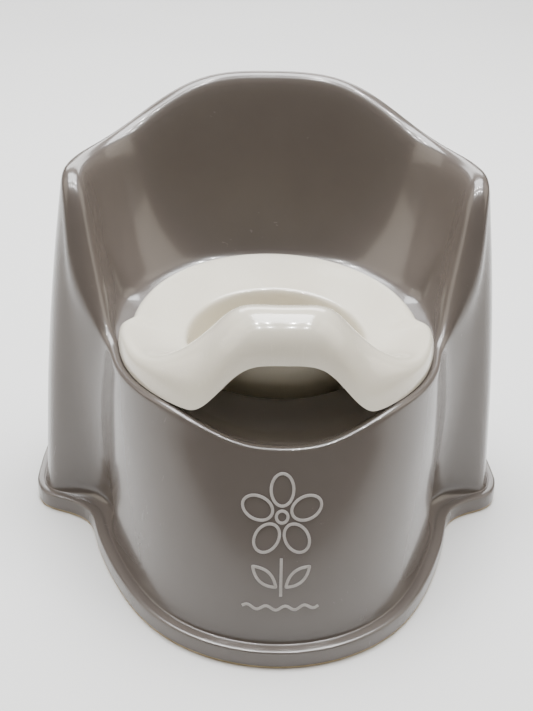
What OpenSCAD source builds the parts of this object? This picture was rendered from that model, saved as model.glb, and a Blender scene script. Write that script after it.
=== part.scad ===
/* [Chair] */
// Width of the base flange, side to side
chair_w = 352; // [340:1:364]
// Depth of the base flange, front to back
chair_d = 358; // [346:1:370]
// Height of the back above the floor
chair_h = 293.5; // [285:0.5:303]
// Height of the wing tops above the floor
wing_h = 249.5; // [242:0.5:256]
// Wall thickness of the chair moulding
shell_wall = 2.8; // [2.4:0.1:3.2]

/* [Pedestal] */
// Height of the pedestal's lip under the potty's feet
lip_h = 147; // [145.5:0.5:147]
// How far the lip dips at the front, for the fingers
lip_dip = 14.5; // [9:0.5:15]
// Half width of the well that the bowl hangs in
well_r = 67; // [66:0.5:69]

/* [Potty] */
// Height of the splash guard above the floor
guard_h = 212; // [208:0.5:216]
// Height of the arch under the splash guard
arch_h = 184.8; // [180:0.2:188]
// Height of the flat bottom of the bowl, inside
bowl_floor_h = 36; // [30:1:45]
// Wall thickness of the potty moulding
potty_wall = 2.4; // [2:0.1:2.8]

/* [Base strip] */
// Height of the part of the strip that shows under the flange
strip_h = 1.7; // [1.4:0.1:2]

/* [Front motif] */
// Height of the middle of the flower above the floor
motif_h = 82; // [76:1:88]
// Line width of the motif
line_w = 1.9; // [1.5:0.1:2.4]

/* [Hidden] */
nominal = [352, 358];
scale_x = chair_w / nominal[0];
scale_y = chair_d / nominal[1];
strip_depth = 5.2;
strip_upstand_h = 7;
arch_setback = 9;
guard_crown = 5.5;
motif_lift = 0.15;
motif_thick = 0.35;

function mix(a, b, t) = a + (b - a) * t;
function smooth(a, b, x) = let (t = min(1, max(0, (x - a) / (b - a)))) t * t * (3 - 2 * t);
function unit(v) = v / norm(v);

// Superellipse about the centre plane: angle 0 is the side, 90 is the back
function super_back(cy, a, b, n, angle) = [a * pow(cos(angle), 2 / n), cy + b * pow(sin(angle), 2 / n)];
// The same towards the front: angle 0 is the front, 90 is the side
function super_front(cy, a, b, n, angle) = [a * pow(sin(angle), 2 / n), cy - b * pow(cos(angle), 2 / n)];

// ---- stations round half of the chair, from the front centre to the back centre ----
front_angles = [0, 14, 28, 42, 56];
lip_angles = [0, 14, 28, 40, 52, 63, 72, 79, 85];
back_angles = [0, 8, 20, 34, 48, 62, 76, 90];
crest_angles = [4, 10, 21, 34, 48, 62, 76, 90];
deck_angles = [18, 26, 35, 45, 56, 67, 79, 90];

// Outline of the base: an arc in front, the valley and the wing's front, then the rounded back
base_rail = concat(
    [for (a = front_angles) super_front(-71, 109, 109.5, 2, a)],
    [[103.5, -108.5], [113, -87], [120.5, -67], [125.3, -51], [128, -39], [131, -28.5]],
    [[139, -19], [151, -12.5], [163.5, -8], [172, 0.5], [175.6, 14]],
    [for (a = back_angles) super_back(20, 176, 160, 2.9, a)]
);

// Crest of the upper edge: the lip, the front edge of the wing, then the wing top and the back
function lip_point(p) =
    [p[0], p[1], lip_h - lip_dip * (1 - smooth(32, 64, p[0]))];
function crest_point(p) = [p[0], p[1], mix(chair_h - 0.5, wing_h + 0.5, smooth(42, 131, p[0]))];
top_rail = concat(
    [for (a = lip_angles) lip_point(super_front(-20, 110.5, 109.5, 1.95, a))],
    [[114.5, -19, 149.5], [121, -9, 158], [128.5, 1.5, 173], [134, 11, 195]],
    [[137.5, 19.5, 218], [139.5, 27.5, 238], [141.5, 36, wing_h - 2]],
    [for (a = crest_angles) crest_point(super_back(34, 142.5, 109, 2.4, a))]
);

// Foot of the inner wall, and the middle of the ledge in front
function ledge_point(p) =
    [p[0], p[1], lip_h - 1.6 - (lip_dip - 1.6) * (1 - smooth(30, 60, p[0]))];
deck_rail = concat(
    [for (a = lip_angles) ledge_point(super_front(-20, 100, 93, 1.9, a))],
    [[108, -21, 146.5], [110.5, -12, 148], [112, -2, 149.5], [112, 8, 150.5]],
    [[111.5, 18, 151.5], [110.5, 28, 152.5], [108.5, 38, 153]],
    [for (a = deck_angles) concat(super_back(10, 107.5, 92.5, 2.2, a), 153.5 + 4 * smooth(0, 90, a))]
);
stations = len(base_rail);

// Edge of the well, from the front centre to the back centre
function well_point(j) =
    let (a = -90 + 180 * j / (stations - 1), s = sin(a), reach = s < 0 ? -63 : 69)
    [well_r * pow(abs(cos(a)), 2 / 2.2), -20 + reach * pow(abs(s), 2 / 2.2)];

// Outward direction, in plan, at each station of the base
function base_normal(j) =
    let (before = j == 0 ? [-base_rail[1][0], base_rail[1][1]] : base_rail[j - 1],
         last = base_rail[stations - 2],
         after = j == stations - 1 ? [-last[0], last[1]] : base_rail[j + 1],
         d = unit(after - before))
    [d[1], -d[0]];

// ---- the skin of the chair: one column of control points at each station ----
// Flange, as (distance in from the outline, height): skirt, flat top, groove and cove
flange_foot_h = 1.9;
flange_rows = [
    [0, flange_foot_h], [0, 5.5], [0, 11.4], [0.6, 12.8], [3.6, 13],
    [6.9, 12.9], [8.1, 11.9], [9.2, 13], [10.6, 17.5]
];
// The same from below
flange_under = [
    [shell_wall, flange_foot_h], [shell_wall, 6], [shell_wall + 0.4, 9.2],
    [shell_wall + 2, 9.9], [8.4, 8.8], [11, 9.8]
];
flange_depth = 11.6;
foot_z = 24;
function foot_inset(j) = mix(flange_depth, 8.2, smooth(9, 17, j));
function rim_half(j) = mix(mix(3.4, 13, smooth(7.5, 10.5, j)), 8, smooth(10.5, 14, j));
function wall_bulge(j) = mix(2.5, 3.5, smooth(9, 15, j));
// How far the front edge of the wing bulges forward
function nose(j) = 0.4 * smooth(9, 11, j) * (1 - smooth(14, 17, j));
// How much wider and lower the flange is in the valley between the pedestal and the wing
web_sink = 0.43;
function web(j) = 7 * max(0, 1 - pow((j - 10) / 2.2, 2));

function flange_column(j, rows) =
    [for (r = rows)
        let (inset = r[0] * foot_inset(j) / flange_depth + web(j) * smooth(8, 10.5, r[0]),
             sink = web_sink * web(j) * smooth(8.5, 10.6, r[0]),
             p = base_rail[j] - base_normal(j) * inset)
        [p[0], p[1], r[1] - sink]];

function wall_column(j) =
    let (n = base_normal(j), t = top_rail[j], d = deck_rail[j],
         w = min(rim_half(j), 0.6 * norm([d[0] - t[0], d[1] - t[1]])),
         f = base_rail[j] - n * (foot_inset(j) + web(j)),
         foot = [f[0], f[1], foot_z],
         across = unit([d[0] - t[0], d[1] - t[1], 0]),
         up = [0, 0, 1],
         out = [n[0], n[1], 0] * wall_bulge(j),
         ahead = cross(up, across) * w * nose(j),
         rim_out = t - across * w - up * w * 1.05,
         drop = w * mix(0.35, 2.2, smooth(1, 22, t[2] - d[2])),
         rim_in = t + across * w * 1.6 - up * drop,
         hollow = min(1, max(0, (t[2] - d[2]) / 100)) * smooth(12, 18, j),
         q = well_point(j),
         well_z = mix(143.5, 145, smooth(1, 4, j)) + 5 * smooth(14, 23, j),
         well = [q[0], q[1], well_z])
    [
        foot,
        mix(foot, rim_out, 0.25) + out * 0.75,
        mix(foot, rim_out, 0.5) + out,
        mix(foot, rim_out, 0.78) + out * 0.7,
        rim_out,
        t - across * w * mix(0.86, 0.72, smooth(17, 20, j)) + up * w * 0.1 + ahead,
        t + across * w * 0.55 + up * w * 0.22 + ahead,
        t + across * w * 1.25 - up * min(w * 0.75, drop),
        mix(rim_in, d, 0.3) - across * 4 * hollow,
        mix(rim_in, d, 0.65) - across * 4 * hollow,
        d - across * 3 * hollow + up * 9 * hollow,
        d + across * 3,
        mix(d, well, 0.5),
        well + 0.08 * [d[0] - q[0], d[1] - q[1], 0],
        well - up * 2.5,
        well - up * 14
    ];

// Full loop of columns, mirrored about the centre plane
function loop(half) =
    let (n = len(half))
    concat(half, [for (j = [n - 2:-1:1]) [for (p = half[j]) [-p[0], p[1], p[2]]]]);

// Each control point moved back by a distance along its own normal, which points out of the plastic
function offset_net(net, dist) =
    let (n = len(net), m = len(net[0]))
    [for (i = [0:n - 1]) [for (k = [0:m - 1])
        let (along = net[(i + 1) % n][k] - net[(i + n - 1) % n][k],
             up = net[i][min(k + 1, m - 1)] - net[i][max(k - 1, 0)])
        net[i][k] - unit(cross(along, up)) * dist]];

// ---- cubic B-spline ----
function weights(t) = [
    pow(1 - t, 3), 3 * pow(t, 3) - 6 * t * t + 4, 3 * (t - pow(t, 3) + t * t) + 1, pow(t, 3)
] / 6;
// Closed direction: a column at station u
function column_at(net, u) =
    let (n = len(net), i = floor(u), w = weights(u - i))
    w[0] * net[(i - 1 + n) % n] + w[1] * net[(i + n) % n]
        + w[2] * net[(i + 1 + n) % n] + w[3] * net[(i + 2 + n) % n];
// Open direction: the point of a column at row v, which reaches both ends
function row_at(col, v) =
    let (last = len(col) - 1, i = min(floor(v), last - 1), w = weights(v - i),
         before = i == 0 ? 2 * col[0] - col[1] : col[i - 1],
         after = i + 2 > last ? 2 * col[last] - col[last - 1] : col[i + 2])
    w[0] * before + w[1] * col[i] + w[2] * col[i + 1] + w[3] * after;
function skin(net, columns, rows) =
    [for (u = columns) let (c = column_at(net, u)) [for (v = rows) row_at(c, v)]];
function stretched(grid) = [for (c = grid) [for (p = c) [p[0] * scale_x, p[1] * scale_y, p[2]]]];

// A closed skin: outer grid, then the back grid in the opposite order, joined round the loop
module loop_solid(grid) {
    n = len(grid);
    m = len(grid[0]);
    points = [for (c = grid) each c];
    faces = [for (i = [0:n - 1]) for (k = [0:m - 1])
        let (a = i * m + k, b = ((i + 1) % n) * m + k,
             c = ((i + 1) % n) * m + (k + 1) % m, d = i * m + (k + 1) % m)
        each [[a, c, b], [a, d, c]]];
    polyhedron(points, faces);
}

// The same with both grids closed over the middle by a point each
module cup_solid(outer, inner) {
    n = len(outer);
    m = len(outer[0]);
    grid = [for (i = [0:n - 1]) concat(outer[i], [for (k = [m - 1:-1:0]) inner[i][k]])];
    w = 2 * m;
    middle = n * w;
    middles = [for (g = [outer, inner]) [0, potty_y * scale_y, g[0][m - 1][2]]];
    points = concat([for (c = grid) each c], middles);
    sides = [for (i = [0:n - 1]) for (k = [0:w - 1]) if (k != m - 1)
        let (a = i * w + k, b = ((i + 1) % n) * w + k,
             c = ((i + 1) % n) * w + (k + 1) % w, d = i * w + (k + 1) % w)
        each [[a, c, b], [a, d, c]]];
    caps = [for (i = [0:n - 1])
        let (a = i * w + m - 1, b = ((i + 1) % n) * w + m - 1)
        each [[a, middle, b], [b + 1, middle + 1, a + 1]]];
    polyhedron(points, concat(sides, caps));
}

shell_net = loop([for (j = [0:stations - 1]) concat(flange_column(j, flange_rows), wall_column(j))]);
wall_net = loop([for (j = [0:stations - 1]) wall_column(j)]);
wall_back = offset_net(wall_net, shell_wall);
under_flange = loop([for (j = [0:stations - 1]) flange_column(j, flange_under)]);
under_net = [for (i = [0:len(wall_back) - 1]) concat(under_flange[i], wall_back[i])];

module seat_shell() {
    columns = [0:len(shell_net) - 1];
    outer_rows = [for (v = [0:len(shell_net[0]) - 1]) v];
    under_rows = [for (v = [len(under_net[0]) - 1:-1:0]) v];
    outer = stretched(skin(shell_net, columns, outer_rows));
    under = stretched(skin(under_net, columns, under_rows));
    color([0.5, 0.47, 0.45])
        loop_solid([for (i = [0:len(outer) - 1]) concat(outer[i], under[i])]);
}

// ---- the potty: one column of control points at each angle about its centre, 0 at the front ----
potty_y = -20;
potty_angles = [
    0, 9, 16, 22, 27, 31, 35, 41, 49, 58, 67, 76, 84, 89, 92.5, 95, 97.5, 100, 104, 111, 121, 133,
    148, 164, 180
];
// Rows of the seat ring and of the splash guard, from the outer edge to the hole, as fractions of
// the width and of the height
ring_rows = [[1, 0], [1.012, 0.3], [0.995, 0.72], [0.93, 1], [0.84, 0.98], [0.68, 0.82], [0.46, 0.62],
    [0.24, 0.48], [0.1, 0.4]];
guard_rows = [[1, 0], [0.975, 0.1], [0.93, 0.25], [0.84, 0.45], [0.7, 0.68], [0.54, 0.86], [0.37, 0.98],
    [0.22, 1.03], [0.09, 0.97]];
// The middle of the guard, which stands steeper
centre_rows = [[1, 0], [0.985, 0.2], [0.955, 0.42], [0.9, 0.63], [0.82, 0.81], [0.7, 0.94], [0.55, 1.01],
    [0.36, 0.97], [0.14, 0.74]];
// Rows of the bowl, as fraction of its radius and of its depth
bowl_rows = [[0.93, 0.61], [0.87, 0.24], [0.8, 0.08], [0.66, 0.012], [0.35, 0]];
bowl_depth = 160.5 - bowl_floor_h;

// Radius of a superellipse about the potty's centre
function super_radius(phi, a, front, back, n) =
    let (b = cos(phi) > 0 ? front : back)
    pow(pow(abs(sin(phi) / a), n) + pow(abs(cos(phi) / b), n), -1 / n);

function potty_column(phi) =
    let (front = 1 - smooth(18, 68, phi), leg = 1 - smooth(30, 74, phi), arch = 1 - smooth(10.5, 33, phi),
         back = smooth(84, 180, phi), step = smooth(92.5, 98.5, phi), centre = 1 - smooth(8, 38, phi),
         hole = super_radius(phi, 61.5, 51, 69, 2.1),
         skirt = super_radius(phi, 107.8, 109, 112, 1.93),
         rim = super_radius(phi, 99.5, 106, 117, 2.12),
         outer = mix(skirt, rim, step) - arch_setback * arch,
         edge_z = mix(147.6, arch_h, arch) + 6 * smooth(84, 102, phi) + 7 * back,
         crest_z = mix(161.5, guard_h - guard_crown, front) + 5.5 * back + guard_crown * centre,
         hole_z = mix(153, guard_h - 15, front) + 5 * back,
         ring = [for (i = [0:len(ring_rows) - 1])
             let (s = ring_rows[i], g = mix(guard_rows[i], centre_rows[i], centre),
                  rise = mix(edge_z, crest_z, s[1]),
                  dish = mix(hole_z, crest_z, max(0, (s[1] - 0.4) / 0.58)),
                  seat_z = mix(dish, rise, smooth(0.8, 0.93, s[0])))
             [mix(hole, outer, mix(s[0], g[0], leg)), mix(seat_z, mix(edge_z, crest_z, g[1]), leg)]],
         neck = [[hole + 1, mix(hole_z - 0.3, hole_z - 4, front)],
                 [hole - 1, mix(hole_z - 3.5, hole_z - 16, front)],
                 [hole - 2.2, mix(hole_z - 14, 162, front)]],
         bowl = [for (r = bowl_rows)
             [super_radius(phi, 61, 51, 62, 2) * r[0], bowl_floor_h + bowl_depth * r[1]]])
    [for (r = concat(ring, neck, bowl)) [r[0] * sin(phi), potty_y - r[0] * cos(phi), r[1]]];

potty_net = loop([for (a = potty_angles) potty_column(a)]);
potty_under = offset_net(potty_net, potty_wall);

module inner_potty() {
    columns = [0:len(potty_net) - 1];
    rows = [for (v = [0:len(potty_net[0]) - 1]) v];
    color([0.93, 0.92, 0.9])
        cup_solid(stretched(skin(potty_net, columns, rows)), stretched(skin(potty_under, columns, rows)));
}

// ---- the anti-slip strip: an L section that follows the outline of the base ----
strip_face = 0.2;
strip_back = shell_wall + 0.3;
strip_section = [
    [strip_face, 0], [strip_face, strip_h], [strip_back, strip_h],
    [strip_back, strip_upstand_h], [strip_depth, strip_upstand_h], [strip_depth, 0]
];

module base_strip() {
    net = loop([for (j = [0:stations - 1])
        [for (r = strip_section) let (p = base_rail[j] - base_normal(j) * r[0]) [p[0], p[1], r[1]]]]);
    color([0.85, 0.8, 0.68])
        loop_solid(stretched([for (u = [0:len(net) - 1]) column_at(net, u)]));
}

// ---- the printed flower: raised lines that lie on the pedestal's wall ----
foot_row = len(flange_rows);
station_step = 25.6;
row_step = 27;

// Point of the wall at a station and a row
function wall_point(u, v) = row_at(column_at(shell_net, u), v);
// Station and row at which the wall passes through (x, z), by a few corrections
function wall_place(x, z, place, passes) =
    passes == 0 ? place :
    let (p = wall_point(place[0], place[1]))
    wall_place(x, z, place + [(x - p[0]) / station_step, (z - p[2]) / row_step], passes - 1);

// Frame of the wall at (x, z): the point and the outward normal
function wall_frame(q) =
    let (at = wall_place(q[0], q[1], [q[0] / station_step, foot_row + (q[1] - foot_z) / row_step], 4),
         p = wall_point(at[0], at[1]),
         du = wall_point(at[0] + 0.05, at[1]) - p,
         dv = wall_point(at[0], at[1] + 0.05) - p)
    [p, unit(cross(du, dv))];

// Closed ellipse on the wall: centre, half axes and turn
function ellipse_path(c, a, b, turn, n) =
    [for (i = [0:n - 1])
        let (t = 360 * i / n, x = a * cos(t), z = b * sin(t))
        c + [x * cos(turn) - z * sin(turn), x * sin(turn) + z * cos(turn)]];
// Closed leaf, pointed at both ends
function leaf_path(c, length, width, turn, n) =
    [for (i = [0:n - 1])
        let (t = 360 * i / n, x = length / 2 * cos(t), z = width / 2 * sin(t) * abs(sin(t)))
        c + [x * cos(turn) - z * sin(turn), x * sin(turn) + z * cos(turn)]];

// One line of the motif, which is a band along its path
module line(path, closed) {
    n = len(path);
    frames = [for (q = path) wall_frame(q)];
    bands = [for (i = [0:n - 1])
        let (after = closed ? (i + 1) % n : min(i + 1, n - 1),
             before = closed ? (i + n - 1) % n : max(i - 1, 0),
             normal = frames[i][1],
             side = unit(cross(normal, frames[after][0] - frames[before][0])) * line_w / 2,
             low = frames[i][0] + normal * motif_lift,
             high = low + normal * motif_thick)
        [low - side, high - side, high + side, low + side]];
    grid = stretched(bands);
    if (closed) {
        loop_solid(grid);
    } else {
        sides = [for (i = [0:n - 2]) for (k = [0:3])
            let (a = i * 4 + k, b = a + 4, c = (i + 1) * 4 + (k + 1) % 4, d = i * 4 + (k + 1) % 4)
            each [[a, c, b], [a, d, c]]];
        e = (n - 1) * 4;
        ends = [[0, 2, 1], [0, 3, 2], [e, e + 1, e + 2], [e, e + 2, e + 3]];
        polyhedron([for (band = grid) each band], concat(sides, ends));
    }
}

petals = 5;
petal_ring_r = 16;
petal_size = [9.5, 7];
flower_at = [0, motif_h + 11];

module front_motif() {
    color([0.8, 0.79, 0.78]) {
        for (i = [0:petals - 1])
            let (a = 90 + 360 * i / petals, middle = flower_at + petal_ring_r * [cos(a), sin(a)])
            line(ellipse_path(middle, petal_size[0], petal_size[1], a, 20), true);
        line(ellipse_path(flower_at, 3.6, 3.6, 0, 12), true);
        line([for (z = [68:-4:44]) [0, z]], false);
        line(leaf_path([10.5, 56], 19, 8, 40, 18), true);
        line(leaf_path([-10.5, 56], 19, 8, 140, 18), true);
        line([for (x = [-24:2:24]) [x, 36.5 + 1.3 * sin(x * 30)]], false);
    }
}

seat_shell();
inner_potty();
base_strip();
front_motif();
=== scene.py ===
"""Potty training chair: the looks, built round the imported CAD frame.

Shapes are in millimetres until make_mesh turns them into metres.
"""

from math import cos, floor, pi, radians, sin

import bpy
import numpy as np
from mathutils import Matrix, Vector


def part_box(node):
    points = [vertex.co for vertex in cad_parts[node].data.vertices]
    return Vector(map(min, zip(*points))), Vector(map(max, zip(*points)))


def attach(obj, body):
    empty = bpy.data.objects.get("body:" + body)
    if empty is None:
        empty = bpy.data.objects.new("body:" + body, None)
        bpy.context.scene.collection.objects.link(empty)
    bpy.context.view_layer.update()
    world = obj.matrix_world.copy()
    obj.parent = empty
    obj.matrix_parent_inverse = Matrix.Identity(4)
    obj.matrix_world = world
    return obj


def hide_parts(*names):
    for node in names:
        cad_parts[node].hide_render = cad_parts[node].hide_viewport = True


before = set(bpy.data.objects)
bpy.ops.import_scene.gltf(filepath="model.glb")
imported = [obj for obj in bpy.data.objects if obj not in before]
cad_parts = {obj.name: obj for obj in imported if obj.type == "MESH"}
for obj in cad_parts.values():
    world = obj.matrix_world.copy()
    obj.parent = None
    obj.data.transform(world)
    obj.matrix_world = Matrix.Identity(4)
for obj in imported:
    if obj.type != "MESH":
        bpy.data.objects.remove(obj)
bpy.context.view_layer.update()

MM = 0.001

# ---- driving dimensions, as in the CAD source ----
BACK_H, WING_H = 293.5, 249.5
SHELL_WALL, POTTY_WALL = 2.8, 2.4
LIP_H, LIP_DIP = 147, 14.5
WELL_R = 67
GUARD_H, ARCH_H = 212, 184.8
BOWL_FLOOR_H = 36
FOOT_Z = 24
FLANGE_DEPTH = 11.6
POTTY_Y = -20

# How finely each surface is sampled, per span of its control net
SHELL_COLUMNS, SHELL_ROWS = 6, 4
POTTY_COLUMNS, POTTY_ROWS = 7, 5


def mix(a, b, t):
    return a + (b - a) * t


def smooth(a, b, x):
    t = min(1.0, max(0.0, (x - a) / (b - a)))
    return t * t * (3 - 2 * t)


def unit(v):
    return v / np.linalg.norm(v)


def super_back(cy, a, b, n, angle):
    """Superellipse about the centre plane: angle 0 is the side, 90 is the back."""
    return (a * abs(cos(radians(angle))) ** (2 / n), cy + b * abs(sin(radians(angle))) ** (2 / n))


def super_front(cy, a, b, n, angle):
    """The same towards the front: angle 0 is the front, 90 is the side."""
    return (a * abs(sin(radians(angle))) ** (2 / n), cy - b * abs(cos(radians(angle))) ** (2 / n))


# ---- stations round half of the chair, from the front centre to the back centre ----
FRONT_ANGLES = [0, 14, 28, 42, 56]
LIP_ANGLES = [0, 14, 28, 40, 52, 63, 72, 79, 85]
BACK_ANGLES = [0, 8, 20, 34, 48, 62, 76, 90]
CREST_ANGLES = [4, 10, 21, 34, 48, 62, 76, 90]
DECK_ANGLES = [18, 26, 35, 45, 56, 67, 79, 90]


def base_rail():
    """Outline of the base: an arc in front, the valley and the wing's front, then the rounded back."""
    front = [super_front(-71, 109, 109.5, 2, a) for a in FRONT_ANGLES]
    valley = [(103.5, -108.5), (113, -87), (120.5, -67), (125.3, -51), (128, -39), (131, -28.5)]
    wing = [(139, -19), (151, -12.5), (163.5, -8), (172, 0.5), (175.6, 14)]
    back = [super_back(20, 176, 160, 2.9, a) for a in BACK_ANGLES]
    return [np.array((x, y, 0.0)) for x, y in front + valley + wing + back]


def top_rail():
    """Crest of the upper edge: the lip, the front edge of the wing, then the wing top and the back."""
    rail = []
    for a in LIP_ANGLES:
        x, y = super_front(-20, 110.5, 109.5, 1.95, a)
        rail.append((x, y, LIP_H - LIP_DIP * (1 - smooth(32, 64, x))))
    rail += [(114.5, -19, 149.5), (121, -9, 158), (128.5, 1.5, 173), (134, 11, 195)]
    rail += [(137.5, 19.5, 218), (139.5, 27.5, 238), (141.5, 36, WING_H - 2)]
    for a in CREST_ANGLES:
        x, y = super_back(34, 142.5, 109, 2.4, a)
        rail.append((x, y, mix(BACK_H - 0.5, WING_H + 0.5, smooth(42, 131, x))))
    return [np.array(p) for p in rail]


def deck_rail():
    """Foot of the inner wall, and the middle of the ledge in front."""
    rail = []
    for a in LIP_ANGLES:
        x, y = super_front(-20, 100, 93, 1.9, a)
        rail.append((x, y, LIP_H - 1.6 - (LIP_DIP - 1.6) * (1 - smooth(30, 60, x))))
    rail += [(108, -21, 146.5), (110.5, -12, 148), (112, -2, 149.5), (112, 8, 150.5)]
    rail += [(111.5, 18, 151.5), (110.5, 28, 152.5), (108.5, 38, 153)]
    for a in DECK_ANGLES:
        rail.append((*super_back(10, 107.5, 92.5, 2.2, a), 153.5 + 4 * smooth(0, 90, a)))
    return [np.array(p) for p in rail]


BASE, TOP, DECK = base_rail(), top_rail(), deck_rail()
STATIONS = len(BASE)


def well_point(j):
    """Edge of the well that the bowl hangs in."""
    a = radians(-90 + 180 * j / (STATIONS - 1))
    reach = -63 if sin(a) < 0 else 69
    return np.array((WELL_R * abs(cos(a)) ** (2 / 2.2), POTTY_Y + reach * abs(sin(a)) ** (2 / 2.2), 0.0))


def mirrored(p):
    return p * np.array((-1, 1, 1))


def base_normal(j):
    """Outward direction, in plan, at a station of the base."""
    before = mirrored(BASE[1]) if j == 0 else BASE[j - 1]
    after = mirrored(BASE[STATIONS - 2]) if j == STATIONS - 1 else BASE[j + 1]
    d = unit(after - before)
    return np.array((d[1], -d[0], 0.0))


# Flange, as (distance in from the outline, height): skirt, bead, groove and cove
FLANGE_ROWS = [
    (0, 1.9), (0, 5.5), (0, 11.4), (0.6, 12.8), (3.6, 13), (6.9, 12.9), (8.1, 11.9), (9.2, 13), (10.6, 17.5)
]
FLANGE_UNDER = [(2.8, 1.9), (2.8, 6), (3.2, 9.2), (4.8, 9.9), (8.4, 8.8), (11, 9.8)]
UP = np.array((0.0, 0.0, 1.0))


def foot_inset(j):
    return mix(FLANGE_DEPTH, 8.2, smooth(9, 17, j))


def rim_half(j):
    return mix(mix(3.4, 13, smooth(7.5, 10.5, j)), 8, smooth(10.5, 14, j))


# The valley between the pedestal and the wing: how much wider the flange is there, at which station,
# over how many stations to each side, and how far it sinks for each millimetre of extra width
WEB_WIDTH, WEB_STATION, WEB_REACH, WEB_SINK = 7, 10, 2.2, 0.43


def web(j):
    """Extra width of the flange in the valley."""
    return WEB_WIDTH * max(0.0, 1 - ((j - WEB_STATION) / WEB_REACH) ** 2)


def flange_column(j, rows):
    n = base_normal(j)
    part = foot_inset(j) / FLANGE_DEPTH
    made = []
    for inset, z in rows:
        at = BASE[j] - n * (inset * part + web(j) * smooth(8, 10.5, inset))
        made.append(at + UP * (z - WEB_SINK * web(j) * smooth(8.5, 10.6, inset)))
    return made


def wall_column(j):
    """Outer wall, rolled upper edge, inner wall, ledge and well at one station."""
    n, t, d = base_normal(j), TOP[j], DECK[j]
    across = d - t
    across[2] = 0
    w = min(rim_half(j), 0.6 * np.linalg.norm(across))
    across = unit(across)
    foot = BASE[j] - n * (foot_inset(j) + web(j)) + UP * FOOT_Z
    bulge = n * mix(2.5, 3.5, smooth(9, 15, j))
    rim_out = t - across * w - UP * w * 1.05
    drop = w * mix(0.35, 2.2, smooth(1, 22, t[2] - d[2]))
    rim_in = t + across * w * 1.6 - UP * drop
    hollow = min(1.0, max(0.0, (t[2] - d[2]) / 100)) * smooth(12, 18, j)
    well = well_point(j) + UP * (mix(143.5, 145, smooth(1, 4, j)) + 5 * smooth(14, 23, j))
    to_ledge = d - well
    to_ledge[2] = 0
    nose = np.cross(UP, across) * w * 0.4 * smooth(9, 11, j) * (1 - smooth(14, 17, j))
    return [
        foot,
        mix(foot, rim_out, 0.25) + bulge * 0.75,
        mix(foot, rim_out, 0.5) + bulge,
        mix(foot, rim_out, 0.78) + bulge * 0.7,
        rim_out,
        t - across * w * mix(0.86, 0.72, smooth(17, 20, j)) + UP * w * 0.1 + nose,
        t + across * w * 0.55 + UP * w * 0.22 + nose,
        t + across * w * 1.25 - UP * min(w * 0.75, drop),
        mix(rim_in, d, 0.3) - across * 4 * hollow,
        mix(rim_in, d, 0.65) - across * 4 * hollow,
        d - across * 3 * hollow + UP * 9 * hollow,
        d + across * 3,
        mix(d, well, 0.5),
        well + 0.08 * to_ledge,
        well - UP * 2.5,
        well - UP * 14,
    ]


def loop(half):
    """Full loop of columns, mirrored about the centre plane."""
    half = np.array(half)
    return np.concatenate([half, half[-2:0:-1] * np.array((-1, 1, 1))])


def offset_net(net, distance):
    """Each control point moved back along its own normal, which points out of the plastic."""
    along = np.roll(net, -1, axis=0) - np.roll(net, 1, axis=0)
    up = np.concatenate([net[:, 1:], net[:, -1:]], axis=1) - np.concatenate([net[:, :1], net[:, :-1]], axis=1)
    normal = np.cross(along, up)
    return net - normal / np.linalg.norm(normal, axis=2, keepdims=True) * distance


# ---- cubic B-splines ----
def weights(t):
    return np.array([(1 - t) ** 3, 3 * t ** 3 - 6 * t * t + 4, 3 * (t - t ** 3 + t * t) + 1, t ** 3]) / 6


def blend(points, axis, at):
    """Spline through a padded control array: at is a list of (index, part) pairs."""
    out = []
    for i, part in at:
        four = np.take(points, [i, i + 1, i + 2, i + 3], axis=axis)
        out.append(np.tensordot(weights(part), four, axes=(0, axis)))
    return np.stack(out, axis=axis)


def skin(net, per_column, per_row):
    """Surface grid of a net that is closed along its columns and reaches both ends of its rows."""
    ring = np.concatenate([net[-1:], net, net[:2]])
    ring = blend(ring, 0, [(i, s / per_column) for i in range(len(net)) for s in range(per_column)])
    first, last = 2 * ring[:, :1] - ring[:, 1:2], 2 * ring[:, -1:] - ring[:, -2:-1]
    rows = np.concatenate([first, ring, last], axis=1)
    spans = net.shape[1] - 1
    at = [(i, s / per_row) for i in range(spans) for s in range(per_row)] + [(spans - 1, 1.0)]
    return blend(rows, 1, at)


# ---- meshes ----
def closed_skin_faces(n, m):
    """Faces of a grid of n columns and m rows, closed both ways."""
    return [
        (i * m + k, ((i + 1) % n) * m + k, ((i + 1) % n) * m + (k + 1) % m, i * m + (k + 1) % m)
        for i in range(n) for k in range(m)
    ]


def make_mesh(name, points, faces, sharp=40):
    """Blender object from points in millimetres."""
    mesh = bpy.data.meshes.new(name)
    mesh.from_pydata([tuple(p) for p in np.asarray(points) * MM], [], faces)
    mesh.validate()
    mesh.shade_smooth()
    mesh.set_sharp_from_angle(angle=radians(sharp))
    made = bpy.data.objects.new(name, mesh)
    bpy.context.scene.collection.objects.link(made)
    return made


def fitted(points, node):
    """Points stretched by the last fraction of a millimetre on to the CAD node's box."""
    low, high = (np.array(c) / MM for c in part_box(node))
    own_low, own_high = points.min(axis=0), points.max(axis=0)
    return low + (points - own_low) * (high - low) / (own_high - own_low)


def finished(piece, node, body, material):
    """The piece stands for its CAD node, which it hides, and takes its body and material."""
    piece.data.materials.append(material)
    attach(piece, body)
    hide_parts(node)


# ---- the chair moulding ----
SHELL_NET = loop([flange_column(j, FLANGE_ROWS) + wall_column(j) for j in range(STATIONS)])


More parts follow.
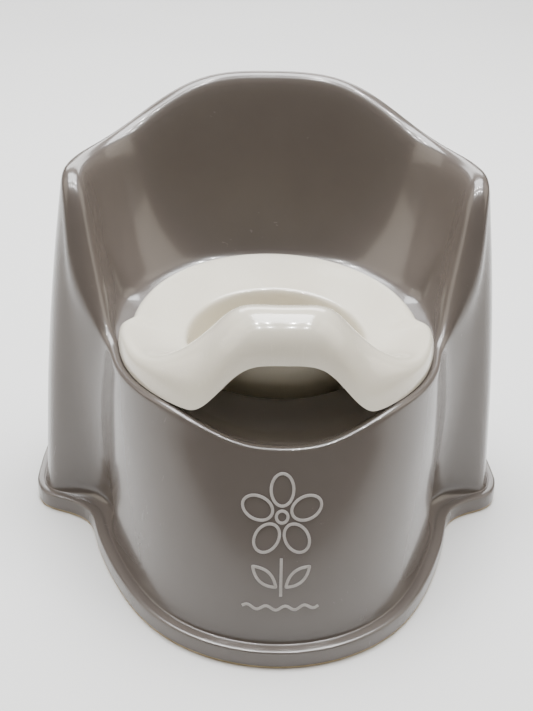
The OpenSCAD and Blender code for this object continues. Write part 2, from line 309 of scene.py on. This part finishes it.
def chair_shell():
    wall_back = offset_net(loop([wall_column(j) for j in range(STATIONS)]), SHELL_WALL)
    under_flange = loop([flange_column(j, FLANGE_UNDER) for j in range(STATIONS)])
    under_net = np.concatenate([under_flange, wall_back], axis=1)
    outer = skin(SHELL_NET, SHELL_COLUMNS, SHELL_ROWS)
    under = skin(under_net, SHELL_COLUMNS, SHELL_ROWS)
    grid = np.concatenate([outer, under[:, ::-1]], axis=1)
    points = fitted(grid.reshape(-1, 3), "seat_shell")
    return make_mesh("chair_shell", points, closed_skin_faces(*grid.shape[:2]))


# ---- the potty ----
POTTY_ANGLES = [
    0, 9, 16, 22, 27, 31, 35, 41, 49, 58, 67, 76, 84,
    89, 92.5, 95, 97.5, 100, 104, 111, 121, 133, 148, 164, 180,
]
# Rows of the seat ring and of the splash guard, from the outer edge to the hole, as fractions
RING_ROWS = [
    (1, 0), (1.012, 0.3), (0.995, 0.72), (0.93, 1), (0.84, 0.98),
    (0.68, 0.82), (0.46, 0.62), (0.24, 0.48), (0.1, 0.4),
]
GUARD_ROWS = [
    (1, 0), (0.975, 0.1), (0.93, 0.25), (0.84, 0.45), (0.7, 0.68),
    (0.54, 0.86), (0.37, 0.98), (0.22, 1.03), (0.09, 0.97),
]
# The middle of the guard, which stands steeper
CENTRE_ROWS = [
    (1, 0), (0.985, 0.2), (0.955, 0.42), (0.9, 0.63), (0.82, 0.81),
    (0.7, 0.94), (0.55, 1.01), (0.36, 0.97), (0.14, 0.74),
]
BOWL_ROWS = [(0.93, 0.61), (0.87, 0.24), (0.8, 0.08), (0.66, 0.012), (0.35, 0)]
BOWL_DEPTH = 160.5 - BOWL_FLOOR_H
# How far the arch's edge stands back, and how much the guard's crown rises at its middle
ARCH_SETBACK, GUARD_CROWN = 9, 5.5


def super_radius(phi, a, front, back, n):
    """Radius of a superellipse about the potty's centre, with phi 0 at the front."""
    s, c = sin(radians(phi)), cos(radians(phi))
    b = front if c > 0 else back
    return (abs(s / a) ** n + abs(c / b) ** n) ** (-1 / n)


def potty_column(phi):
    front, leg, arch = 1 - smooth(18, 68, phi), 1 - smooth(30, 74, phi), 1 - smooth(10.5, 33, phi)
    back, step, centre = smooth(84, 180, phi), smooth(92.5, 98.5, phi), 1 - smooth(8, 38, phi)
    hole = super_radius(phi, 61.5, 51, 69, 2.1)
    skirt, rim = super_radius(phi, 107.8, 109, 112, 1.93), super_radius(phi, 99.5, 106, 117, 2.12)
    outer = mix(skirt, rim, step) - ARCH_SETBACK * arch
    edge_z = mix(147.6, ARCH_H, arch) + 6 * smooth(84, 102, phi) + 7 * back
    crest_z = mix(161.5, GUARD_H - GUARD_CROWN, front) + 5.5 * back + GUARD_CROWN * centre
    hole_z = mix(153, GUARD_H - 15, front) + 5 * back
    rows = []
    for s, flank, middle in zip(RING_ROWS, GUARD_ROWS, CENTRE_ROWS):
        g = [mix(a, b, centre) for a, b in zip(flank, middle)]
        rise = mix(edge_z, crest_z, s[1])
        dish = mix(hole_z, crest_z, max(0, (s[1] - 0.4) / 0.58))
        seat_z = mix(dish, rise, smooth(0.8, 0.93, s[0]))
        guard_z = mix(edge_z, crest_z, g[1])
        rows.append((mix(hole, outer, mix(s[0], g[0], leg)), mix(seat_z, guard_z, leg)))
    rows.append((hole + 1, mix(hole_z - 0.3, hole_z - 4, front)))
    rows.append((hole - 1, mix(hole_z - 3.5, hole_z - 16, front)))
    rows.append((hole - 2.2, mix(hole_z - 14, 162, front)))
    rows += [(super_radius(phi, 61, 51, 62, 2) * r, BOWL_FLOOR_H + BOWL_DEPTH * z) for r, z in BOWL_ROWS]
    return [np.array((r * sin(radians(phi)), POTTY_Y - r * cos(radians(phi)), z)) for r, z in rows]


def inner_potty():
    net = loop([potty_column(a) for a in POTTY_ANGLES])
    outer = skin(net, POTTY_COLUMNS, POTTY_ROWS)
    under = skin(offset_net(net, POTTY_WALL), POTTY_COLUMNS, POTTY_ROWS)
    grid = np.concatenate([outer, under[:, ::-1]], axis=1)
    n, w = grid.shape[:2]
    m = w // 2
    middles = [(0, POTTY_Y, outer[0, -1, 2]), (0, POTTY_Y, under[0, -1, 2])]
    faces = [f for f in closed_skin_faces(n, w) if f[0] % w != m - 1]
    for i in range(n):
        a, b = i * w + m - 1, ((i + 1) % n) * w + m - 1
        faces += [(a, b, n * w), (b + 1, a + 1, n * w + 1)]
    points = fitted(np.concatenate([grid.reshape(-1, 3), middles]), "inner_potty")
    return make_mesh("potty_bowl", points, faces)


# ---- the anti-slip strip ----
# Section of the strip, as (distance in from the outline, height)
STRIP_SECTION = [
    (0.2, 0.4), (0.2, 1.5), (0.5, 1.7), (3.1, 1.7), (3.1, 7), (5.2, 7), (5.2, 0.3), (4.9, 0), (0.6, 0)
]


def anti_slip_strip():
    net = loop([
        [BASE[j] - base_normal(j) * inset + UP * z for inset, z in STRIP_SECTION] for j in range(STATIONS)
    ])
    ring = np.concatenate([net[-1:], net, net[:2]])
    grid = blend(ring, 0, [(i, s / SHELL_COLUMNS) for i in range(len(net)) for s in range(SHELL_COLUMNS)])
    points = fitted(grid.reshape(-1, 3), "base_strip")
    return make_mesh("anti_slip_strip", points, closed_skin_faces(*grid.shape[:2]), sharp=50)


# ---- the printed flower ----
MOTIF_H, LINE_W = 82, 1.9
MOTIF_LIFT, MOTIF_THICK = 0.15, 0.22
STATION_STEP, ROW_STEP = 25.6, 27
FOOT_ROW = len(FLANGE_ROWS)
PETALS, PETAL_RING_R, PETAL_SIZE = 5, 16, (9.5, 7)


def wall_point(u, v):
    """Point of the chair's skin at station u and row v."""
    n = len(SHELL_NET)
    i, k = floor(u), floor(v)
    columns = np.tensordot(weights(u - i), SHELL_NET[[(i + s) % n for s in (-1, 0, 1, 2)]], axes=(0, 0))
    return np.tensordot(weights(v - k), columns[k - 1:k + 3], axes=(0, 0))


def wall_frame(x, z):
    """The wall's point over (x, z) and its outward normal."""
    u, v = x / STATION_STEP, FOOT_ROW + (z - FOOT_Z) / ROW_STEP
    for _ in range(4):
        p = wall_point(u, v)
        u, v = u + (x - p[0]) / STATION_STEP, v + (z - p[2]) / ROW_STEP
    p = wall_point(u, v)
    return p, unit(np.cross(wall_point(u + 0.05, v) - p, wall_point(u, v + 0.05) - p))


def turned(cx, cz, x, z, turn):
    c, s = cos(radians(turn)), sin(radians(turn))
    return cx + x * c - z * s, cz + x * s + z * c


def ellipse_path(cx, cz, a, b, turn, n):
    return [turned(cx, cz, a * cos(2 * pi * i / n), b * sin(2 * pi * i / n), turn) for i in range(n)]


def leaf_path(cx, cz, length, width, turn, n):
    """Closed leaf, pointed at both ends."""
    path = []
    for i in range(n):
        s = sin(2 * pi * i / n)
        path.append(turned(cx, cz, length / 2 * cos(2 * pi * i / n), width / 2 * s * abs(s), turn))
    return path


def band(path, closed):
    """A flat line with soft shoulders along a path on the wall: its section at each point."""
    frames = [wall_frame(x, z) for x, z in path]
    n = len(frames)
    sections = []
    for i, (p, normal) in enumerate(frames):
        after = (i + 1) % n if closed else min(i + 1, n - 1)
        before = (i - 1) % n if closed else max(i - 1, 0)
        side = unit(np.cross(normal, frames[after][0] - frames[before][0])) * LINE_W / 2
        low = p + normal * MOTIF_LIFT
        high = low + normal * MOTIF_THICK
        shoulder = mix(low, high, 0.7)
        sections.append([
            low - side, shoulder - side * 0.97, high - side * 0.85,
            high + side * 0.85, shoulder + side * 0.97, low + side,
        ])
    return np.array(sections)


def front_motif():
    points, faces = [], []

    def add(path, closed):
        grid = band(path, closed)
        n, m = grid.shape[:2]
        start = len(points)
        points.extend(grid.reshape(-1, 3))
        if closed:
            faces.extend(tuple(start + v for v in f) for f in closed_skin_faces(n, m))
            return
        faces.extend(tuple(start + v for v in f) for f in closed_skin_faces(n, m) if f[0] < (n - 1) * m)
        faces.append(tuple(start + k for k in reversed(range(m))))
        faces.append(tuple(start + (n - 1) * m + k for k in range(m)))

    flower_z = MOTIF_H + 11
    for i in range(PETALS):
        turn = 90 + 360 * i / PETALS
        cx, cz = turned(0, flower_z, PETAL_RING_R, 0, turn)
        add(ellipse_path(cx, cz, *PETAL_SIZE, turn, 48), True)
    add(ellipse_path(0, flower_z, 3.6, 3.6, 0, 32), True)
    add([(0, z) for z in range(68, 43, -2)], False)
    add(leaf_path(10.5, 56, 19, 8, 40, 40), True)
    add(leaf_path(-10.5, 56, 19, 8, 140, 40), True)
    add([(x, 36.5 + 1.3 * sin(radians(x * 30))) for x in range(-24, 25)], False)
    return make_mesh("front_print", points, faces, sharp=60)


# ---- materials ----
class Graph:
    """Short hand for one material's nodes."""

    def __init__(self, name, color, roughness):
        self.material = bpy.data.materials.new(name)
        self.material.use_nodes = True
        self.tree = self.material.node_tree
        self.shader = self.tree.nodes["Principled BSDF"]
        self.shader.inputs["Base Color"].default_value = (*color, 1)
        self.shader.inputs["Roughness"].default_value = roughness
        self.place = self.tree.nodes.new("ShaderNodeTexCoord").outputs["Object"]

    def node(self, kind, values=()):
        made = self.tree.nodes.new(kind)
        for key, value in values:
            made.inputs[key].default_value = value
        return made

    def link(self, source, target):
        self.tree.links.new(source, target)

    def stretched(self, scale):
        """The place in space, stretched, for streaks."""
        mapping = self.node("ShaderNodeMapping", [("Scale", scale)])
        self.link(self.place, mapping.inputs["Vector"])
        return mapping.outputs["Vector"]

    def noise(self, scale, detail=3.0, rough=0.5, place=None):
        made = self.node("ShaderNodeTexNoise", [("Scale", scale), ("Detail", detail), ("Roughness", rough)])
        self.link(place or self.place, made.inputs["Vector"])
        return made.outputs["Fac"]

    def pointiness(self):
        return self.tree.nodes.new("ShaderNodeNewGeometry").outputs["Pointiness"]

    def ranged(self, source, low, high, to_low, to_high):
        limits = [("From Min", low), ("From Max", high), ("To Min", to_low), ("To Max", to_high)]
        made = self.node("ShaderNodeMapRange", limits)
        self.link(source, made.inputs["Value"])
        return made.outputs["Result"]

    def sum(self, a, b, operation="ADD"):
        made = self.node("ShaderNodeMath")
        made.operation = operation
        self.link(a, made.inputs[0])
        if isinstance(b, (int, float)):
            made.inputs[1].default_value = b
        else:
            self.link(b, made.inputs[1])
        return made.outputs["Value"]

    def blend_colors(self, factor, a, b):
        made = self.tree.nodes.new("ShaderNodeMix")
        made.data_type = "RGBA"
        self.link(factor, made.inputs["Factor"])
        for key, value in (("A", a), ("B", b)):
            socket = [s for s in made.inputs if s.name == key and s.type == "RGBA"][0]
            if isinstance(value, tuple):
                socket.default_value = (*value, 1)
            else:
                self.link(value, socket)
        return [s for s in made.outputs if s.type == "RGBA"][0]

    def bump(self, height, distance, strength=1.0, under=None):
        made = self.node("ShaderNodeBump", [("Strength", strength), ("Distance", distance)])
        self.link(height, made.inputs["Height"])
        if under is not None:
            self.link(under, made.inputs["Normal"])
        return made.outputs["Normal"]


def shell_plastic():
    g = Graph("shell_plastic", (0.115, 0.097, 0.086), 0.2)
    cloud = g.ranged(g.noise(7, 4, 0.6), 0.3, 0.7, 0, 1)
    color = g.blend_colors(cloud, (0.106, 0.089, 0.079), (0.122, 0.104, 0.093))
    edge = g.ranged(g.pointiness(), 0.54, 0.64, 0, 0.35)
    color = g.blend_colors(edge, color, (0.17, 0.156, 0.15))
    dust = g.ranged(g.noise(900, 2, 0.7), 0.76, 0.86, 0, 0.03)
    color = g.blend_colors(dust, color, (0.24, 0.226, 0.216))
    g.link(color, g.shader.inputs["Base Color"])
    smears = g.ranged(g.noise(16, 5, 0.65), 0.3, 0.8, 0.22, 0.29)
    scratches = g.ranged(g.noise(240, 2, 0.5, g.stretched((1, 6, 0.4))), 0.66, 0.82, 0, 0.025)
    g.link(g.sum(smears, scratches), g.shader.inputs["Roughness"])
    waves = g.bump(g.noise(28, 2, 0.4), 0.0002)
    peel = g.bump(g.noise(420, 2, 0.5), 0.000018, under=waves)
    g.link(peel, g.shader.inputs["Normal"])
    g.shader.inputs["Coat Weight"].default_value = 0.5
    g.shader.inputs["Coat Roughness"].default_value = 0.11
    return g.material


def potty_plastic():
    g = Graph("potty_plastic", (0.75, 0.7, 0.585), 0.2)
    cloud = g.ranged(g.noise(9, 4, 0.6), 0.3, 0.7, 0, 1)
    color = g.blend_colors(cloud, (0.73, 0.675, 0.555), (0.77, 0.725, 0.615))
    edge = g.ranged(g.pointiness(), 0.54, 0.64, 0, 0.5)
    color = g.blend_colors(edge, color, (0.78, 0.77, 0.75))
    g.link(color, g.shader.inputs["Base Color"])
    smears = g.ranged(g.noise(22, 5, 0.65), 0.35, 0.75, 0.14, 0.26)
    scratches = g.ranged(g.noise(260, 2, 0.5, g.stretched((5, 1, 0.5))), 0.62, 0.75, 0, 0.15)
    g.link(g.sum(smears, scratches), g.shader.inputs["Roughness"])
    waves = g.bump(g.noise(30, 2, 0.4), 0.0003)
    peel = g.bump(g.noise(450, 2, 0.5), 0.000015, under=waves)
    g.link(peel, g.shader.inputs["Normal"])
    g.shader.inputs["Coat Weight"].default_value = 0.8
    g.shader.inputs["Coat Roughness"].default_value = 0.08
    return g.material


def strip_rubber():
    g = Graph("strip_rubber", (0.42, 0.33, 0.2), 0.6)
    cloud = g.ranged(g.noise(40, 4, 0.6), 0.3, 0.7, 0, 1)
    color = g.blend_colors(cloud, (0.38, 0.295, 0.17), (0.46, 0.365, 0.23))
    g.link(color, g.shader.inputs["Base Color"])
    g.link(g.ranged(g.noise(120, 3), 0.3, 0.7, 0.5, 0.7), g.shader.inputs["Roughness"])
    g.link(g.bump(g.noise(900, 3), 0.00006), g.shader.inputs["Normal"])
    return g.material


def motif_ink():
    g = Graph("motif_ink", (0.42, 0.395, 0.375), 0.4)
    cloud = g.ranged(g.noise(180, 4, 0.6), 0.35, 0.65, 0, 1)
    color = g.blend_colors(cloud, (0.37, 0.345, 0.325), (0.45, 0.425, 0.405))
    g.link(color, g.shader.inputs["Base Color"])
    g.link(g.ranged(g.noise(300, 2), 0.3, 0.7, 0.3, 0.5), g.shader.inputs["Roughness"])
    g.link(g.bump(g.noise(1500, 2), 0.00002), g.shader.inputs["Normal"])
    return g.material


def floor_paint():
    g = Graph("floor_paint", (0.8, 0.8, 0.795), 0.6)
    g.link(g.ranged(g.noise(3, 3), 0.3, 0.7, 0.5, 0.7), g.shader.inputs["Roughness"])
    return g.material


# ---- floor, lights and camera ----
FLOOR_HALF = 4.0


def studio_floor():
    half = FLOOR_HALF
    mesh = bpy.data.meshes.new("studio_floor")
    corners = [(-half, -half, 0), (half, -half, 0), (half, half, 0), (-half, half, 0)]
    mesh.from_pydata(corners, [], [(0, 1, 2, 3)])
    made = bpy.data.objects.new("studio_floor", mesh)
    bpy.context.scene.collection.objects.link(made)
    made.data.materials.append(floor_paint())


def area_light(name, place, target, size, power, tint=(1, 1, 1)):
    lamp = bpy.data.lights.new(name, "AREA")
    lamp.shape = "RECTANGLE"
    lamp.size, lamp.size_y = size
    lamp.energy = power
    lamp.color = tint
    made = bpy.data.objects.new(name, lamp)
    bpy.context.scene.collection.objects.link(made)
    made.location = place
    made.rotation_euler = (Vector(target) - Vector(place)).to_track_quat("-Z", "Y").to_euler()
    return made


# Softboxes: name, place, aim, size, power in watts and tint
NEUTRAL, COOL, WARM = (1, 1, 1), (0.96, 0.98, 1), (1, 0.9, 0.76)
SOFTBOXES = [
    ("ceiling", (0.0, 0.5, 2.2), (0, 0.1, 0), (1.9, 1.3), 140, COOL),
    ("side_left", (-2.2, -0.2, 1.6), (0, 0, 0.15), (2.2, 1.8), 26, WARM),
    ("side_right", (2.2, -0.1, 1.6), (0, 0, 0.15), (2.2, 1.8), 26, WARM),
    ("backdrop", (0.0, 3.2, 1.7), (0, 2.3, 0), (3.4, 1.2), 75, NEUTRAL),
]
# Small ceiling bulbs, which make the pinpoint highlights
BULB_COLUMNS, BULB_ROWS, BULB_HEIGHT = (-0.8, -0.3, 0.25, 0.75), (-0.75, -0.2), 2.0
BULB_SIZE, BULB_POWER = 0.03, 12.0
FILL_STRENGTH, ROOM_STRENGTH = 0.12, 1.3


def ceiling_bulbs():
    places = [(x, y, BULB_HEIGHT) for x in BULB_COLUMNS for y in BULB_ROWS]
    for i, place in enumerate(places):
        bulb = area_light(f"bulb_{i}", place, (0, 0, 0.15), (BULB_SIZE, BULB_SIZE), BULB_POWER)
        bulb.visible_diffuse = False


def studio_world():
    """A weak warm fill, behind which the room itself is pale."""
    world = bpy.data.worlds.new("studio")
    bpy.context.scene.world = world
    world.use_nodes = True
    tree = world.node_tree
    fill, room = tree.nodes["Background"], tree.nodes.new("ShaderNodeBackground")
    fill.inputs["Color"].default_value = (*WARM, 1)
    fill.inputs["Strength"].default_value = FILL_STRENGTH
    room.inputs["Color"].default_value = (*NEUTRAL, 1)
    room.inputs["Strength"].default_value = ROOM_STRENGTH
    choice, path = tree.nodes.new("ShaderNodeMixShader"), tree.nodes.new("ShaderNodeLightPath")
    tree.links.new(path.outputs["Is Camera Ray"], choice.inputs["Fac"])
    tree.links.new(fill.outputs["Background"], choice.inputs[1])
    tree.links.new(room.outputs["Background"], choice.inputs[2])
    tree.links.new(choice.outputs["Shader"], tree.nodes["World Output"].inputs["Surface"])


def studio_lights():
    for box in SOFTBOXES:
        area_light(*box)
    ceiling_bulbs()


# Camera, fitted to the chair's outline: angles in degrees, lengths in metres
CAM_AZIMUTH, CAM_ELEVATION, CAM_ROLL = -3.0, 28.2, 1.92
CAM_DISTANCE = 0.8755
CAM_TARGET = Vector((-0.005, 0.007, 0.1241))
CAM_LENS = 61.85


def photo_camera():
    az, el, roll = radians(CAM_AZIMUTH), radians(CAM_ELEVATION), radians(CAM_ROLL)
    back = Vector((sin(az) * cos(el), -cos(az) * cos(el), sin(el)))
    level = Vector((0, 0, 1)).cross(back).normalized()
    upright = back.cross(level)
    right = cos(roll) * level + sin(roll) * upright
    top = cos(roll) * upright - sin(roll) * level
    place = Matrix((right, top, back)).transposed().to_4x4()
    place.translation = CAM_TARGET + back * CAM_DISTANCE
    camera = bpy.data.objects.new("photo_camera", bpy.data.cameras.new("photo_camera"))
    bpy.context.scene.collection.objects.link(camera)
    camera.matrix_world = place
    camera.data.sensor_fit = "AUTO"
    camera.data.sensor_width = 36
    camera.data.lens = CAM_LENS
    bpy.context.scene.camera = camera


finished(chair_shell(), "seat_shell", "chair", shell_plastic())
finished(anti_slip_strip(), "base_strip", "chair", strip_rubber())
finished(front_motif(), "front_motif", "chair", motif_ink())
finished(inner_potty(), "inner_potty", "potty", potty_plastic())
studio_floor()
studio_world()
studio_lights()
photo_camera()
